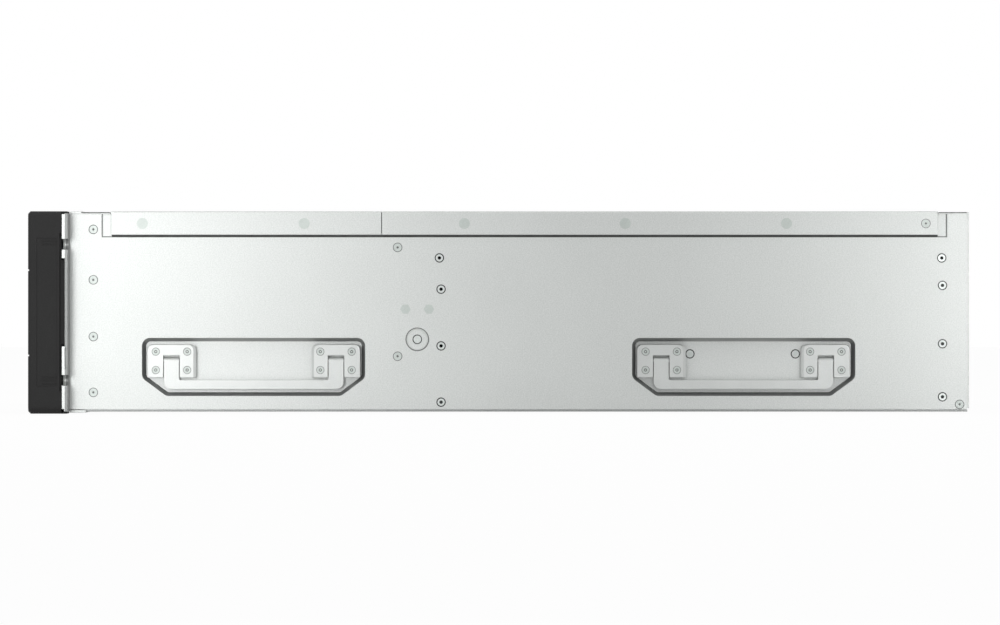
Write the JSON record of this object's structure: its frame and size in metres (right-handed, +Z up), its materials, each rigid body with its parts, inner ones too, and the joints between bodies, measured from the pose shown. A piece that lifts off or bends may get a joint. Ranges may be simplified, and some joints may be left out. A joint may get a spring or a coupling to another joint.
{
  "type": "rack-mount storage server",
  "caption": "Rack-mount storage server: drive trays with levers, fold-out lift handles, lift-off rear cover, hot-swap power supplies.",
  "frame": {"origin": "centre of the whole unit's footprint, at the height of the surface it stands on", "axes": "+X to the right seen from the front, +Y from the front to the rear, +Z up"},
  "size_m": [0.4826, 0.6176, 0.1327],
  "materials": {
    "silver_steel": "fine-grained zinc-coated steel sheet",
    "cage_steel": "plain zinc-coated steel",
    "cap_plastic": "fine moulded grain",
    "tray_plastic": "fine moulded grain",
    "lever_plastic": "fine moulded grain",
    "handle_metal": "satin cast zinc",
    "screw_steel": "nickel-plated steel",
    "circuit_board": "solder-masked glass-fibre board",
    "fan_plastic": "satin glass-filled plastic",
    "button_plastic": "satin plastic"
  },
  "bodies": {
    "chassis": {"bottom_pan": "silver_steel", "side_panel_right": "silver_steel", "side_panel_left": "silver_steel", "front_frame": "silver_steel", "drive_cage": "cage_steel", "backplane": "circuit_board", "fan_wall": "cage_steel", "fan_frames": "fan_plastic", "motherboard_tray": "cage_steel", "motherboard": "circuit_board", "rear_panel": "silver_steel", "supply_bay": "cage_steel", "front_cover": "silver_steel", "ear_brackets": "silver_steel", "ear_caps": "cap_plastic", "handle_brackets": "handle_metal", "panel_screws": "screw_steel"},
    "lift_handle_front_right": {"lift_handle_front_right": "handle_metal"},
    "lift_handle_front_left": {"lift_handle_front_left": "handle_metal"},
    "lift_handle_rear_right": {"lift_handle_rear_right": "handle_metal"},
    "lift_handle_rear_left": {"lift_handle_rear_left": "handle_metal"},
    "rear_cover": {"rear_cover": "silver_steel"},
    "power_supply_lower": {"power_supply_lower": "cage_steel"},
    "power_supply_upper": {"power_supply_upper": "cage_steel"},
    "power_button": {"power_button": "button_plastic"},
    "fan_rotor_1": {"fan_rotor_1": "fan_plastic"},
    "fan_rotor_2": {"fan_rotor_2": "fan_plastic"},
    "fan_rotor_3": {"fan_rotor_3": "fan_plastic"},
    "tray_44": {"tray_44": "tray_plastic"},
    "tray_lever_44": {"tray_lever_44": "lever_plastic"},
    "tray_11": {"tray_11": "tray_plastic"},
    "tray_lever_11": {"tray_lever_11": "lever_plastic"},
    "tray_41": {"tray_41": "tray_plastic"},
    "tray_lever_41": {"tray_lever_41": "lever_plastic"},
    "tray_14": {"tray_14": "tray_plastic"},
    "tray_lever_14": {"tray_lever_14": "lever_plastic"},
    "tray_22": {"tray_22": "tray_plastic"},
    "tray_lever_22": {"tray_lever_22": "lever_plastic"},
    "tray_33": {"tray_33": "tray_plastic"},
    "tray_lever_33": {"tray_lever_33": "lever_plastic"},
    "tray_23": {"tray_23": "tray_plastic"},
    "tray_lever_23": {"tray_lever_23": "lever_plastic"},
    "tray_32": {"tray_32": "tray_plastic"},
    "tray_lever_32": {"tray_lever_32": "lever_plastic"},
    "tray_42": {"tray_42": "tray_plastic"},
    "tray_lever_42": {"tray_lever_42": "lever_plastic"},
    "tray_43": {"tray_43": "tray_plastic"},
    "tray_lever_43": {"tray_lever_43": "lever_plastic"},
    "tray_12": {"tray_12": "tray_plastic"},
    "tray_lever_12": {"tray_lever_12": "lever_plastic"},
    "tray_13": {"tray_13": "tray_plastic"},
    "tray_lever_13": {"tray_lever_13": "lever_plastic"},
    "tray_21": {"tray_21": "tray_plastic"},
    "tray_lever_21": {"tray_lever_21": "lever_plastic"},
    "tray_24": {"tray_24": "tray_plastic"},
    "tray_lever_24": {"tray_lever_24": "lever_plastic"},
    "tray_31": {"tray_31": "tray_plastic"},
    "tray_lever_31": {"tray_lever_31": "lever_plastic"},
    "tray_34": {"tray_34": "tray_plastic"},
    "tray_lever_34": {"tray_lever_34": "lever_plastic"}
  },
  "joints": [
    {"name": "lift_handle_front_right_swing", "type": "hinge", "parent": "chassis", "child": "lift_handle_front_right", "pos_m": [0.217, -0.16205, 0.0345], "axis": [0, -1, 0], "range_deg": [0, 90]},
    {"name": "lift_handle_front_left_swing", "type": "hinge", "parent": "chassis", "child": "lift_handle_front_left", "pos_m": [-0.217, -0.16205, 0.0345], "axis": [0, 1, 0], "range_deg": [0, 90]},
    {"name": "lift_handle_rear_right_swing", "type": "hinge", "parent": "chassis", "child": "lift_handle_rear_right", "pos_m": [0.217, 0.15945, 0.0345], "axis": [0, -1, 0], "range_deg": [0, 90]},
    {"name": "lift_handle_rear_left_swing", "type": "hinge", "parent": "chassis", "child": "lift_handle_rear_left", "pos_m": [-0.217, 0.15945, 0.0345], "axis": [0, 1, 0], "range_deg": [0, 90]},
    {"name": "rear_cover_slide", "type": "slide", "parent": "chassis", "child": "rear_cover", "axis": [0, 0, 1], "range_m": [0, 0.12]},
    {"name": "power_supply_lower_slide", "type": "slide", "parent": "chassis", "child": "power_supply_lower", "axis": [0, 1, 0], "range_m": [0, 0.2]},
    {"name": "power_supply_upper_slide", "type": "slide", "parent": "chassis", "child": "power_supply_upper", "axis": [0, 1, 0], "range_m": [0, 0.2]},
    {"name": "power_button_slide", "type": "slide", "parent": "chassis", "child": "power_button", "axis": [0, 1, 0], "range_m": [0, 0.0015], "stiffness_N_per_m": 400},
    {"name": "fan_rotor_1_spin", "type": "hinge", "parent": "chassis", "child": "fan_rotor_1", "pos_m": [-0.14, -0.05605, 0.062], "axis": [0, 1, 0], "continuous": true},
    {"name": "fan_rotor_2_spin", "type": "hinge", "parent": "chassis", "child": "fan_rotor_2", "pos_m": [0, -0.05605, 0.062], "axis": [0, 1, 0], "continuous": true},
    {"name": "fan_rotor_3_spin", "type": "hinge", "parent": "chassis", "child": "fan_rotor_3", "pos_m": [0.14, -0.05605, 0.062], "axis": [0, 1, 0], "continuous": true},
    {"name": "tray_44_slide", "type": "slide", "parent": "chassis", "child": "tray_44", "axis": [0, -1, 0], "range_m": [0, 0.165]},
    {"name": "tray_lever_44_swing", "type": "hinge", "parent": "tray_44", "child": "tray_lever_44", "pos_m": [0.10985, -0.3024, 0.1114], "axis": [0, 0, -1], "range_deg": [0, 50]},
    {"name": "tray_11_slide", "type": "slide", "parent": "chassis", "child": "tray_11", "axis": [0, -1, 0], "range_m": [0, 0.165]},
    {"name": "tray_lever_11_swing", "type": "hinge", "parent": "tray_11", "child": "tray_lever_11", "pos_m": [-0.2077, -0.3024, 0.0184], "axis": [0, 0, -1], "range_deg": [0, 50]},
    {"name": "tray_41_slide", "type": "slide", "parent": "chassis", "child": "tray_41", "axis": [0, -1, 0], "range_m": [0, 0.165]},
    {"name": "tray_lever_41_swing", "type": "hinge", "parent": "tray_41", "child": "tray_lever_41", "pos_m": [-0.2077, -0.3024, 0.1114], "axis": [0, 0, -1], "range_deg": [0, 50]},
    {"name": "tray_14_slide", "type": "slide", "parent": "chassis", "child": "tray_14", "axis": [0, -1, 0], "range_m": [0, 0.165]},
    {"name": "tray_lever_14_swing", "type": "hinge", "parent": "tray_14", "child": "tray_lever_14", "pos_m": [0.10985, -0.3024, 0.0184], "axis": [0, 0, -1], "range_deg": [0, 50]},
    {"name": "tray_22_slide", "type": "slide", "parent": "chassis", "child": "tray_22", "axis": [0, -1, 0], "range_m": [0, 0.165]},
    {"name": "tray_lever_22_swing", "type": "hinge", "parent": "tray_22", "child": "tray_lever_22", "pos_m": [-0.10185, -0.3024, 0.0494], "axis": [0, 0, -1], "range_deg": [0, 50]},
    {"name": "tray_33_slide", "type": "slide", "parent": "chassis", "child": "tray_33", "axis": [0, -1, 0], "range_m": [0, 0.165]},
    {"name": "tray_lever_33_swing", "type": "hinge", "parent": "tray_33", "child": "tray_lever_33", "pos_m": [0.004, -0.3024, 0.0804], "axis": [0, 0, -1], "range_deg": [0, 50]},
    {"name": "tray_23_slide", "type": "slide", "parent": "chassis", "child": "tray_23", "axis": [0, -1, 0], "range_m": [0, 0.165]},
    {"name": "tray_lever_23_swing", "type": "hinge", "parent": "tray_23", "child": "tray_lever_23", "pos_m": [0.004, -0.3024, 0.0494], "axis": [0, 0, -1], "range_deg": [0, 50]},
    {"name": "tray_32_slide", "type": "slide", "parent": "chassis", "child": "tray_32", "axis": [0, -1, 0], "range_m": [0, 0.165]},
    {"name": "tray_lever_32_swing", "type": "hinge", "parent": "tray_32", "child": "tray_lever_32", "pos_m": [-0.10185, -0.3024, 0.0804], "axis": [0, 0, -1], "range_deg": [0, 50]},
    {"name": "tray_42_slide", "type": "slide", "parent": "chassis", "child": "tray_42", "axis": [0, -1, 0], "range_m": [0, 0.165]},
    {"name": "tray_lever_42_swing", "type": "hinge", "parent": "tray_42", "child": "tray_lever_42", "pos_m": [-0.10185, -0.3024, 0.1114], "axis": [0, 0, -1], "range_deg": [0, 50]},
    {"name": "tray_43_slide", "type": "slide", "parent": "chassis", "child": "tray_43", "axis": [0, -1, 0], "range_m": [0, 0.165]},
    {"name": "tray_lever_43_swing", "type": "hinge", "parent": "tray_43", "child": "tray_lever_43", "pos_m": [0.004, -0.3024, 0.1114], "axis": [0, 0, -1], "range_deg": [0, 50]},
    {"name": "tray_12_slide", "type": "slide", "parent": "chassis", "child": "tray_12", "axis": [0, -1, 0], "range_m": [0, 0.165]},
    {"name": "tray_lever_12_swing", "type": "hinge", "parent": "tray_12", "child": "tray_lever_12", "pos_m": [-0.10185, -0.3024, 0.0184], "axis": [0, 0, -1], "range_deg": [0, 50]},
    {"name": "tray_13_slide", "type": "slide", "parent": "chassis", "child": "tray_13", "axis": [0, -1, 0], "range_m": [0, 0.165]},
    {"name": "tray_lever_13_swing", "type": "hinge", "parent": "tray_13", "child": "tray_lever_13", "pos_m": [0.004, -0.3024, 0.0184], "axis": [0, 0, -1], "range_deg": [0, 50]},
    {"name": "tray_21_slide", "type": "slide", "parent": "chassis", "child": "tray_21", "axis": [0, -1, 0], "range_m": [0, 0.165]},
    {"name": "tray_lever_21_swing", "type": "hinge", "parent": "tray_21", "child": "tray_lever_21", "pos_m": [-0.2077, -0.3024, 0.0494], "axis": [0, 0, -1], "range_deg": [0, 50]},
    {"name": "tray_24_slide", "type": "slide", "parent": "chassis", "child": "tray_24", "axis": [0, -1, 0], "range_m": [0, 0.165]},
    {"name": "tray_lever_24_swing", "type": "hinge", "parent": "tray_24", "child": "tray_lever_24", "pos_m": [0.10985, -0.3024, 0.0494], "axis": [0, 0, -1], "range_deg": [0, 50]},
    {"name": "tray_31_slide", "type": "slide", "parent": "chassis", "child": "tray_31", "axis": [0, -1, 0], "range_m": [0, 0.165]},
    {"name": "tray_lever_31_swing", "type": "hinge", "parent": "tray_31", "child": "tray_lever_31", "pos_m": [-0.2077, -0.3024, 0.0804], "axis": [0, 0, -1], "range_deg": [0, 50]},
    {"name": "tray_34_slide", "type": "slide", "parent": "chassis", "child": "tray_34", "axis": [0, -1, 0], "range_m": [0, 0.165]},
    {"name": "tray_lever_34_swing", "type": "hinge", "parent": "tray_34", "child": "tray_lever_34", "pos_m": [0.10985, -0.3024, 0.0804], "axis": [0, 0, -1], "range_deg": [0, 50]}
  ]
}
